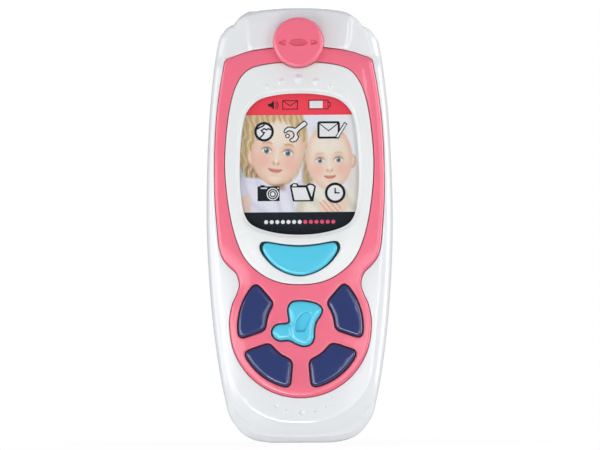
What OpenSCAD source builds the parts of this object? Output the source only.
// Toy cell phone: two white shells, a pink face frame, a screen, six sprung buttons and a click dial.
// Every part is laid out face up (x across, y along the phone, z towards the face) and then stood upright.

/* [Case] */
// Overall depth from the flat back to the top of the dial
depth = 30; // [29:0.5:32]
// Height of the joint between the two shells above the back
parting_z = 14; // [13.5:0.5:15]
// Wall thickness at the sides
wall = 2.2; // [1.8:0.1:2.6]
// Thickness of the back wall
back_wall = 2.6; // [2.4:0.1:2.8]
// Height of the middle of the white front surface above the back
front_z = 27.6; // [27:0.1:28]
// Radius of the rounded edge all round the back
back_round = 4.5; // [4:0.1:5]
// Radius of the gentle lengthwise crown of the face
crown_r = 800; // [700:10:1200]

/* [Face] */
// How far the pink frame and the screen bezel stand proud of the white front
frame_rise = 0.9; // [0.6:0.1:1.2]
// Gap between the pink frame and its neighbours
frame_gap = 0.25; // [0.15:0.05:0.35]
// Floor of the recess that the frame sits in
deck_top = 24.2; // [24:0.1:24.4]
// Thickness of the deck under the frame
deck_t = 1.8; // [1.6:0.1:1.8]
// Thickness of the clear screen window
window_t = 1.6; // [1.2:0.1:1.6]

/* [Buttons] */
// Travel of every button
button_travel = 1.2; // [0.8:0.1:1.2]
// Gap around every button
button_gap = 0.5; // [0.3:0.05:0.5]
// Thickness of a button's retaining flange
flange_t = 1.2; // [1:0.1:1.2]
// Width of the flange around the button
flange_reach = 1.1; // [0.9:0.1:1.2]
// Outer radius of the ring of four arc buttons
arc_outer_r = 22; // [21.5:0.1:22.2]
// Inner radius of the ring of four arc buttons
arc_inner_r = 12.7; // [12.5:0.1:13.5]

/* [Dial] */
// Radius of the dial's disc
dial_r = 8.9; // [8.5:0.1:9]
// Thickness of the dial's disc
dial_t = 2.6; // [2.2:0.1:2.8]
// Radius of the dial's shaft
shaft_r = 2.5; // [2.3:0.1:2.6]
// Radial running clearance of the shaft in its bores
shaft_play = 0.05; // [0.03:0.01:0.08]
// Number of scallops on the click wheel
clicks = 12; // [8:1:16]

/* [Power] */
// Radius of one AAA cell
cell_r = 5.25; // [5.2:0.05:5.25]
// Length of one AAA cell
cell_l = 44.5; // [44:0.1:44.5]
// Width of the battery door
door_w = 30; // [29:0.5:31]

/* [Hidden] */
$fn = 64;

// Steps between two control points of an outline
curve_steps = 4;
// Overshoot of a cutting solid past a face
eps = 0.1;
// Gap between parts that move against each other
gap = 0.3;

// Right half of each outline, from its lowest point to its highest
body_half = [
  [11, 0], [19.5, 2.3], [25.1, 8.8], [27.2, 16], [29.4, 28], [31.5, 45], [32.9, 65],
  [33.3, 82], [32.9, 100], [31.9, 118], [30.2, 134], [28.4, 144], [26.7, 147], [24.4, 149.1], [21, 149.8],
  [0, 150]
];
cap_half = [
  [23.6, 128], [23.6, 140], [23.5, 146], [23.2, 149.2], [22.2, 150.8], [21, 152.2], [18.4, 154], [15, 155],
  [8, 155.8], [0, 156]
];
plateau_half = [
  [0, 6.8], [10.4, 8.2], [18.6, 12.7], [24.2, 20.4], [26.5, 30], [28.3, 45], [29.6, 60],
  [30.8, 82], [30.5, 100], [29.4, 118], [27.8, 131], [26.6, 138], [24, 147], [20, 148.5], [0, 149]
];
panel_half = [[24.4, 128], [23.9, 140], [22.4, 149], [19.5, 151.8], [12, 153.2], [0, 153.8]];
frame_half = [
  [0, 16.2], [9.7, 18.1], [18, 23.7], [23.5, 32.1], [25.3, 41.6], [24.5, 48.7], [22.6, 53.3],
  [21.7, 56.9], [22.8, 60.7], [25.4, 63.3], [27.6, 66.2], [28.8, 70], [29.5, 77], [30.2, 88],
  [30.2, 102], [29.5, 115], [28.2, 126], [26.7, 134.6], [25.9, 136.9], [23.2, 138.1], [17.5, 140],
  [9.3, 141.2], [0, 141.6]
];
bezel_half = [
  [0, 56.7], [7.4, 57.5], [13.7, 60.4], [19.2, 65.5], [22.6, 72.7], [25, 82.6], [26.4, 95],
  [26.3, 106], [24.8, 118.9], [22.2, 128], [17.8, 133.5], [9.9, 135.6], [0, 136.1]
];
window_half = [
  [0, 74.4], [8.5, 75.1], [16, 77.4], [19.4, 81], [20.9, 88], [21.3, 97], [20.8, 107],
  [19.6, 115.5], [17.6, 119.8], [13.6, 123], [7, 124.5], [0, 124.9]
];
menu_half = [
  [0, 60], [4.8, 61], [8.9, 63.3], [11.7, 66.2], [13.2, 68.8], [13.1, 70.6], [11.6, 71.5],
  [5.5, 70.6], [0, 70.2]
];
// Opening in the bezel around the menu button, wider at the two tips
menu_hole_half = [
  [0, 59.6], [4.9, 60.6], [9.2, 62.9], [12.4, 66], [14.2, 68.9], [14.2, 71.1], [12.4, 72.1], [5.8, 71.1],
  [0, 70.7]
];
// The raised note symbol and the leaf-shaped hollow in it
note_outline = [
  [-4.2, 48.1], [-3, 50.1], [-0.6, 50.6], [2.6, 50.4], [5.8, 49.5], [7.6, 47.8], [7, 45.7],
  [5.5, 43.4], [4.8, 40.7], [4.6, 37.4], [3.4, 35.4], [1, 34.8], [-1.6, 35.7], [-4.2, 36.9],
  [-7.6, 36.8], [-9.7, 38.4], [-9.9, 40.5], [-8.2, 42.2], [-5, 42.5], [-3.8, 43.5], [-4.1, 45.9]
];
leaf_outline = [
  [-1.6, 39.9], [-1.9, 42.3], [-0.5, 45.2], [1.6, 46.7], [3.6, 46.5], [3.6, 44.7], [2.4, 41.9],
  [1.5, 39.9]
];

// Centre of the round keypad and of the dial
pad_y = 41.7;
dial_y = 143.1;
// Each arc button runs between these angles along its outer and its inner edge
arc_upper = [[136, 190.5], [139.5, 184.5]];
arc_lower = [[205, 259], [209, 255]];

// Levels of a side: upright to the first, rolled in to the second, then sloped to the third
body_levels = [20, 23, 24];
cap_levels = [18, 22.1, 23.5];
body_roll = 0.9;
cap_roll = 0.8;
// Any level above the white front surface
above = 28;

// Levels, from the back to the front
deck_bottom = deck_top - deck_t;
flange_z = deck_bottom - gap - flange_t;
dome_h = button_travel + 0.4;
membrane_t = 0.8;
board_t = 1.6;
membrane_z = flange_z - eps - dome_h - membrane_t;
board_z = membrane_z - board_t;
window_z = 25;
card_t = 0.4;
dial_z = depth - dial_t;
boss_r = dial_r - 0.15;
boss_z = dial_z - 0.7;
dial_bevel = 0.7;
mark_depth = 0.5;
menu_top = 29.2;
note_top = 28.9;
leaf_depth = 0.8;
arc_top = 28.6;
wheel_t = 2.1;
wheel_z = deck_bottom - gap - wheel_t;
wheel_r = 6.5;

// Battery bay
bay_y = [23.4, 73];
bay_x = 11.2;
bay_wall = 1.2;
bay_top = 14;
cell_z = 3 + cell_r;
cell_x = cell_r + 0.3;
cell_y = 24.2;
door_y = [20, 80];
door_t = 1.6;
door_recess = door_t + gap;
door_screw_y = 77;

// Speaker, switch and screws
speaker_y = 112;
speaker_r = 14;
speaker_z = back_wall + gap;
switch_y = 92;
case_screw_places = [[-20, 14.5], [20, 14.5], [-20.5, 131], [20.5, 131]];
board_screw_places = [[-21, 24], [21, 24], [-20.5, 72], [20.5, 72]];
screw_hole_r = 1.2;
screw_r = 1.15;
well_r = 2.8;
well_top = 9;
// Bores that a small screw bites into, the screw's shank and the leads
pilot_r = 0.95;
shank_r = 0.9;
lead_r = 0.4;

// Centres of the rubber domes, one under each button
function polar(r, a) = [r * cos(a), pad_y + r * sin(a)];
arc_mid_r = (arc_outer_r + arc_inner_r) / 2;
dome_places = [
  [0, 66], [-0.5, 41.5],
  polar(arc_mid_r, 162), polar(arc_mid_r, 18), polar(arc_mid_r, 232), polar(arc_mid_r, -52)
];

// Height of the crowned white front at a distance y along the phone
function crown_z(y) = front_z - crown_r + sqrt(crown_r * crown_r - (y - 78) * (y - 78));
// Point at t between b and c on the curve through a, b, c, d
function curve_point(a, b, c, d, t) =
  (2 * b + (c - a) * t + (2 * a - 5 * b + 4 * c - d) * t * t + (3 * b - a - 3 * c + d) * t * t * t) / 2;
function flip(p) = [-p.x, p.y];
function beyond(end, next) = end.x == 0 ? flip(next) : flip(end);
// Smooth curve through the points of a half outline
function half_curve(half) = let(n = len(half)) [
  for (i = [0:n - 2])
    for (s = [0:curve_steps - 1])
      curve_point(
        i == 0 ? beyond(half[0], half[1]) : half[i - 1], half[i], half[i + 1],
        i == n - 2 ? beyond(half[n - 1], half[n - 2]) : half[i + 2], s / curve_steps
      ),
  half[n - 1]
];
function both_sides(curve) = concat(
  curve, [for (i = [len(curve) - 1:-1:0]) if (curve[i].x > 0) flip(curve[i])]
);
// Smooth closed curve through all the points of an outline
function closed_curve(p) = let(n = len(p)) [
  for (i = [0:n - 1])
    for (s = [0:curve_steps - 1])
      curve_point(p[(i + n - 1) % n], p[i], p[(i + 1) % n], p[(i + 2) % n], s / curve_steps)
];
function arc_points(r, span) = [for (i = [0:8]) polar(r, span[0] + (span[1] - span[0]) * i / 8)];
function arc_loop(ends, grow_in) = concat(
  arc_points(arc_outer_r, ends[0]), [for (i = [8:-1:0]) arc_points(arc_inner_r - grow_in, ends[1])[i]]
);

// Grows an outline by a distance, or shrinks it by a negative one, with rounded corners
module grow(by) { offset(by, $fn = 24) children(); }
module half_shape(half) { polygon(both_sides(half_curve(half))); }
module slab(z0, z1) { translate([0, 0, z0]) linear_extrude(z1 - z0) children(); }
module stand() { translate([0, depth / 2, 0]) rotate([90, 0, 0]) children(); }
module post(place, r, z0, z1) { translate([place.x, place.y, z0]) cylinder(r = r, h = z1 - z0); }
module rounded_box(w, y0, y1, r) {
  translate([0, (y0 + y1) / 2]) grow(r) square([w - 2 * r, y1 - y0 - 2 * r], center = true);
}
// Everything below the crowned face, raised by rise
module below_crown(rise) {
  translate([50, 0, rise]) rotate([0, -90, 0]) linear_extrude(100)
    polygon(concat([[0, -5]], [for (i = [-1:24]) [crown_z(6.8 * i), 6.8 * i]], [[0, 163.2]]));
}
// Tube along a path of points
module tube(path, r, sides = 8) {
  for (i = [0:len(path) - 2])
    hull() {
      translate(path[i]) sphere(r, $fn = sides);
      translate(path[i + 1]) sphere(r, $fn = sides);
    }
}

module body_shape() { half_shape(body_half); }
module cap_shape() { half_shape(cap_half); }
module inside_shape(inset) {
  grow(-inset) union() { body_shape(); cap_shape(); }
}
module arc_shape(ends, grow = 0, grow_in = 0) {
  grow(grow) grow(1.6) grow(-1.6) polygon(arc_loop(ends, grow_in));
}
module note_shape() { polygon(closed_curve(note_outline)); }
module each_arc() {
  for (side = [0, 1]) mirror([side, 0]) for (ends = [arc_upper, arc_lower]) arc_shape(ends, button_gap);
}
module button_openings() {
  each_arc();
  grow(button_gap) note_shape();
}

// White front shell, with the recessed deck that carries the pink frame and the bezel
module front_shell() {
  color("white") stand() difference() {
    union() {
      intersection() {
        union() {
          hull() {
            slab(parting_z, body_levels[0]) body_shape();
            slab(body_levels[1] - eps, body_levels[1]) grow(-body_roll) body_shape();
            slab(body_levels[2], above) half_shape(plateau_half);
          }
          hull() {
            slab(parting_z, cap_levels[0]) cap_shape();
            slab(cap_levels[1] - eps, cap_levels[1]) grow(-cap_roll) cap_shape();
            slab(cap_levels[2], above) half_shape(panel_half);
          }
        }
        below_crown(0);
      }
      intersection() {
        slab(body_levels[0], above) rounded_panel();
        below_crown(0.6);
      }
    }
    difference() {
      hull() {
        slab(parting_z - eps, 19) inside_shape(wall);
        slab(deck_bottom - eps, deck_bottom) inside_shape(4);
      }
      for (place = case_screw_places) post(place, 3, parting_z - eps, deck_bottom + eps);
      for (place = board_screw_places) post(place, 2, board_z + board_t, deck_bottom + eps);
    }
    slab(deck_top, depth) difference() {
      grow(frame_gap) frame_shape();
      grow(1.5) half_shape(window_half);
    }
    slab(window_z - card_t, depth) grow(1.5 + eps) half_shape(window_half);
    slab(deck_bottom - eps, deck_top + eps) button_openings();
    slab(deck_bottom - eps, deck_top + eps) grow(button_gap) half_shape(menu_half);
    post([0, dial_y], shaft_r + shaft_play, deck_bottom - eps, depth);
    for (place = case_screw_places) post(place, screw_hole_r, parting_z - 1, 21);
    for (place = board_screw_places) post(place, pilot_r, board_z, deck_bottom - 0.4);
    mouth_dimples();
  }
}
// Raised middle panel of the cap, beside the dial
module rounded_panel() {
  grow(2.2) grow(-2.2) polygon([[-17.6, 139], [17.6, 139], [18.6, 152.4], [-18.6, 152.4]]);
}
// Seven small dimples in an arc below the keypad
module mouth_dimples() {
  for (d = [[0, 10.8, 1], [5.1, 11.5, 0.64], [9.05, 13.3, 0.64], [12.15, 15.2, 0.45]])
    for (side = [-1, 1])
      if (d.x > 0 || side > 0) post([side * d.x, d.y], d.z, 23.6, depth);
}

// Thin slices of an outline that follow the quarter-round edge of the back
module rounded_back() {
  for (a = [0:15:75]) slab(back_round * (1 - cos(a)), back_round) grow(-back_round * (1 - sin(a))) children();
}
// White rear shell, with the battery bay, the speaker seat and the screw wells
module rear_shell() {
  color("white") stand() difference() {
    union() {
      difference() {
        union() {
          hull() {
            slab(back_round, parting_z) body_shape();
            rounded_back() body_shape();
          }
          hull() {
            slab(back_round, parting_z) cap_shape();
            rounded_back() cap_shape();
          }
        }
        hull() {
          slab(6, parting_z + eps) inside_shape(wall);
          slab(back_wall, back_wall + eps) inside_shape(5);
        }
      }
      slab(back_wall - eps, bay_top + bay_wall)
        rounded_box(2 * (bay_x + bay_wall), bay_y[0] - bay_wall, bay_y[1] + bay_wall, 1);
      slab(back_wall - eps, 6) translate([0, speaker_y]) difference() {
        circle(speaker_r + 1.6);
        circle(speaker_r + 0.3);
      }
      post([0, door_screw_y], 3.2, back_wall - eps, 9);
      for (place = case_screw_places) post(place, 4, 1, parting_z);
    }
    slab(0, bay_top) translate([-bay_x, bay_y[0]]) square([2 * bay_x, bay_y[1] - bay_y[0]]);
    slab(-eps, door_recess) rounded_box(door_w + 0.7, door_y[0] - 0.35, door_y[1] + 0.35, 3);
    post([0, door_screw_y], screw_hole_r, 0, 8.5);
    for (place = case_screw_places) {
      post(place, well_r, -eps, well_top);
      post(place, 1.6, well_top - eps, parting_z + eps);
    }
    speaker_holes();
    slab(-eps, 0.9) rounded_box(13, switch_y - 2.7, switch_y + 2.7, 1.2);
    slab(0, back_wall + eps) rounded_box(8.4, switch_y - 1.4, switch_y + 1.4, 0.6);
  }
}
// Sound holes in two rings around a middle hole
module speaker_holes() {
  for (ring = [[0, 1], [4.2, 6], [8.4, 12]])
    for (i = [0:ring[1] - 1])
      translate([0, speaker_y]) rotate(360 * i / ring[1]) post([ring[0], 0], 1, -eps, back_wall + eps);
}

// Pink face frame: the outline with its neck, and the round boss under the dial
module frame_shape() {
  half_shape(frame_half);
  translate([0, dial_y]) circle(boss_r);
}
module face_frame() {
  color("lightcoral") stand() difference() {
    union() {
      intersection() {
        slab(deck_top, depth) half_shape(frame_half);
        below_crown(frame_rise);
      }
      post([0, dial_y], boss_r, deck_top, boss_z);
    }
    slab(deck_top - eps, depth) difference() {
      grow(frame_gap) half_shape(bezel_half);
      translate([0, dial_y]) circle(boss_r);
    }
    slab(deck_top - eps, depth) button_openings();
    post([0, dial_y], shaft_r + shaft_play, deck_top - eps, depth);
  }
}

// White oval bezel around the screen, with a row of five raised dots
module screen_bezel() {
  color("whitesmoke") stand() difference() {
    union() {
      intersection() {
        slab(deck_top, depth) half_shape(bezel_half);
        below_crown(frame_rise);
      }
      for (d = [[0, 130.2, 1.6], [6.2, 129.2, 1.2], [11.3, 127.4, 0.8]])
        for (side = [-1, 1])
          if (d.x > 0 || side > 0)
            translate([side * d.x, d.y, crown_z(d.y) + frame_rise - d.z / 2]) sphere(d.z);
    }
    slab(deck_top - eps, depth) half_shape(window_half);
    slab(deck_top - eps, window_z + window_t) grow(2) half_shape(window_half);
    slab(deck_top - eps, depth) half_shape(menu_hole_half);
    post([0, dial_y], boss_r + frame_gap, deck_top - eps, depth);
  }
}
module screen_window() {
  color("azure", 0.4) stand() slab(window_z, window_z + window_t) grow(1.8) half_shape(window_half);
}
module picture_card() {
  color("lightsteelblue") stand() slab(window_z - card_t, window_z) grow(1.4) half_shape(window_half);
}

// Dial: a disc with a shallow oval and two arrowheads, on a shaft that turns in the frame and the deck
module dial_knob() {
  color("hotpink") stand() difference() {
    union() {
      post([0, dial_y], dial_r, dial_z, depth - dial_bevel);
      translate([0, dial_y, depth - dial_bevel])
        cylinder(r1 = dial_r, r2 = dial_r - dial_bevel, h = dial_bevel);
      post([0, dial_y], shaft_r, wheel_z + wheel_t, dial_z + eps);
    }
    translate([0, dial_y, depth - mark_depth]) linear_extrude(1) {
      translate([-2, 0]) circle(1.3);
      translate([2, 0]) circle(1.3);
      square([4, 2.6], center = true);
      for (side = [0, 1]) mirror([side, 0]) polygon([[4.6, -1], [4.6, 1], [6.7, 0.5], [6.7, -0.5]]);
    }
    post([0, dial_y], pilot_r, wheel_z, dial_z - 0.6);
  }
}
// Scalloped wheel on the shaft's inner end
module click_wheel() {
  color("silver") stand() slab(wheel_z, wheel_z + wheel_t) translate([0, dial_y]) difference() {
    circle(wheel_r);
    for (i = [0:clicks - 1]) rotate(360 * i / clicks) translate([wheel_r + 0.5, 0]) circle(1);
    circle(pilot_r);
  }
}
module screw(place, head_r, head_z, head_t, body_r, length) {
  difference() {
    union() {
      post(place, head_r, head_z, head_z + head_t);
      post(place, body_r, head_z + head_t - eps, head_z + head_t + length);
    }
    translate([place.x, place.y, head_z - eps]) linear_extrude(0.7) for (a = [0, 90])
      rotate(a) square([head_r * 1.3, head_r * 0.28], center = true);
  }
}
module dial_screw() {
  color("gray") stand() screw([0, dial_y], 2.2, wheel_z - 1.4, 1.4, shank_r, wheel_t + 3.4);
}
// Leaf spring with a rounded nose that rides on the click wheel
module click_spring() {
  nose_x = wheel_r + 0.9;
  color("darkgray") stand() slab(wheel_z + 0.2, wheel_z + wheel_t - 0.2) {
    translate([nose_x, dial_y - 5]) square([0.5, 10]);
    translate([nose_x, dial_y]) circle(0.55);
    translate([nose_x, dial_y - 8]) square([4.5, 3.2]);
  }
  color("white") stand() post([nose_x + 2.8, dial_y - 6.4], 1, wheel_z + wheel_t - 0.3, deck_bottom);
}

// A button: retaining flange, shank through the deck and a rounded-off top
module button(top_z) {
  shoulder_z = top_z - 1;
  rim_z = top_z - 0.4;
  slab(flange_z, flange_z + flange_t) grow(flange_reach) children();
  slab(flange_z, shoulder_z) children();
  slab(shoulder_z, rim_z) grow(-0.25) children();
  slab(rim_z, top_z) grow(-0.7) children();
}
module menu_button() { color("turquoise") stand() button(menu_top) half_shape(menu_half); }
module note_button() {
  color("turquoise") stand() difference() {
    button(note_top) note_shape();
    slab(note_top - leaf_depth, depth) polygon(closed_curve(leaf_outline));
  }
}
module arc_button(ends, side) {
  color("darkslateblue") stand() mirror([side, 0]) button(arc_top) arc_shape(ends);
}
module arc_button_upper_left() { arc_button(arc_upper, 0); }
module arc_button_upper_right() { arc_button(arc_upper, 1); }
module arc_button_lower_left() { arc_button(arc_lower, 0); }
module arc_button_lower_right() { arc_button(arc_lower, 1); }

// Rubber membrane with one dome under each button
module keypad_membrane() {
  color("lightgray") stand() difference() {
    union() {
      slab(membrane_z, membrane_z + membrane_t) rounded_box(46, 21, 76, 3);
      for (place = dome_places)
        translate([place.x, place.y, membrane_z + membrane_t - 0.05])
          cylinder(r1 = 4, r2 = 2.6, h = dome_h + 0.05);
    }
    for (place = board_screw_places) post(place, 2.4, membrane_z - eps, membrane_z + 1);
  }
}
module circuit_board() {
  color("seagreen") stand() difference() {
    slab(board_z, board_z + board_t) rounded_box(47, 20.5, 76.5, 3);
    for (place = board_screw_places) post(place, 1.1, board_z - eps, membrane_z + eps);
  }
}
module board_screws() {
  color("gray") stand() for (place = board_screw_places) screw(place, 2, board_z - 1.2, 1.2, shank_r, 4.4);
}
// Black epoxy blob over the sound chip, on the back of the board
module chip_blob() {
  color("black") stand() translate([0, 48, board_z - 1.2]) cylinder(r1 = 4, r2 = 6, h = 1.2);
}
module capacitor() {
  color("navy") stand() translate([-18, 58, board_z - 2.6]) rotate([-90, 0, 0]) cylinder(r = 2.5, h = 7);
}

// Speaker facing the back: pressed frame, paper cone and magnet
module speaker_frame() {
  color("silver") stand() translate([0, speaker_y, speaker_z]) difference() {
    union() {
      cylinder(r = speaker_r, h = 1);
      translate([0, 0, 1]) cylinder(r1 = speaker_r - 1, r2 = 8, h = 3);
    }
    translate([0, 0, -eps]) cylinder(r = speaker_r - 2, h = 1);
    translate([0, 0, 0.8]) cylinder(r1 = speaker_r - 2, r2 = 7.2, h = 2.6);
  }
}
module speaker_cone() {
  color("dimgray") stand() translate([0, speaker_y, speaker_z]) difference() {
    cylinder(r = speaker_r - 2.2, h = 0.6);
    translate([0, 0, -12]) sphere(12.3);
  }
}
module speaker_magnet() { color("gray") stand() post([0, speaker_y], 7, speaker_z + 4, speaker_z + 7); }

// AAA cell with its raised contact; turn is 1 when the contact points down the phone
module cell(x, turn) {
  stand() translate([x, cell_y + 22.25, cell_z]) rotate([turn ? 90 : -90, 0, 0]) translate([0, 0, -22.25]) {
    cylinder(r = cell_r, h = cell_l - 1);
    cylinder(r = 1.8, h = cell_l);
  }
}
module battery_a() { color("slategray") cell(-cell_x, 0); }
module battery_b() { color("slategray") cell(cell_x, 1); }
// Springs at the two flat ends, each of three narrowing turns
module battery_springs() {
  color("silver") stand() {
    spring([-cell_x, bay_y[0], cell_z], 1, cell_y - bay_y[0]);
    spring([cell_x, bay_y[1], cell_z], -1, bay_y[1] - cell_y - cell_l);
  }
}
module spring(base, way, length) {
  rings = 3;
  wire_r = 0.2;
  for (i = [0:rings - 1])
    translate(base + [0, way * (wire_r + (length - 2 * wire_r) * i / (rings - 1)), 0])
      rotate([90, 0, 0]) rotate_extrude() translate([3.6 - 0.7 * i, 0]) circle(wire_r, $fn = 16);
}
// Flat plates at the two raised contacts
module battery_plates() {
  color("gold") stand() {
    translate([-cell_x - 4, bay_y[1] - 0.5, cell_z - 4]) cube([8, 0.5, 8]);
    translate([cell_x - 4, bay_y[0], cell_z - 4]) cube([8, 0.5, 8]);
  }
}

// Battery door, held by one captive screw
module battery_door() {
  color("white") stand() difference() {
    union() {
      slab(0, door_t) rounded_box(door_w, door_y[0], door_y[1], 2.7);
      for (x = [-8, 0, 8]) translate([x - 0.5, 26, door_t - eps]) cube([1, 44, 0.8]);
    }
    post([0, door_screw_y], 1.4, -eps, 3);
    post([0, door_screw_y], 2.5, -eps, 1);
    for (i = [0:4]) translate([-7 + 0.5 * i, 24.5 + 1.8 * i, -eps]) cube([14 - i, 0.8, 0.6]);
  }
}
module door_screw() { color("gray") stand() screw([0, door_screw_y], 2.2, 0.1, 0.9, screw_r - 0.05, 6); }
module case_screws() {
  color("gray") stand() for (place = case_screw_places) screw(place, 2.5, well_top - 1.6, 1.6, screw_r, 11);
}

// Slide switch behind the back wall and its slider
module switch_body() {
  color("silver") stand() translate([-5, switch_y - 2, back_wall + 1]) cube([10, 4, 4]);
}
module switch_slider() {
  color("black") stand() {
    slab(0.25, back_wall + gap) translate([-2.2, switch_y]) square([3.4, 2.2], center = true);
    slab(back_wall + gap, back_wall + 0.6) translate([-2.2, switch_y]) square([4.4, 3.6], center = true);
  }
}

// Leads from the speaker and from the battery contacts to the board
lead_end_z = board_z - lead_r;
module speaker_wires() {
  color("red") stand() tube([[-5, 100, 7.4], [-6, 90, 10], [-7, 80, 14.5], [-7, 75, lead_end_z]], lead_r);
  color("black") stand()
    tube([[-8, 101.4, 7.4], [-9, 90, 10], [-9.5, 80, 14.5], [-9.5, 75, lead_end_z]], lead_r);
}
module battery_wires() {
  color("red") stand() tube([[6, 21.7, 9], [8, 20, 13], [11, 21.5, lead_end_z]], lead_r);
  color("black") stand() tube([[-6, 21.7, 9], [-8, 20, 13], [-11, 21.5, lead_end_z]], lead_r);
}

front_shell();
rear_shell();
face_frame();
screen_bezel();
screen_window();
picture_card();
dial_knob();
click_wheel();
dial_screw();
click_spring();
menu_button();
note_button();
arc_button_upper_left();
arc_button_upper_right();
arc_button_lower_left();
arc_button_lower_right();
keypad_membrane();
circuit_board();
board_screws();
chip_blob();
capacitor();
speaker_frame();
speaker_cone();
speaker_magnet();
battery_a();
battery_b();
battery_springs();
battery_plates();
battery_door();
door_screw();
case_screws();
switch_body();
switch_slider();
speaker_wires();
battery_wires();
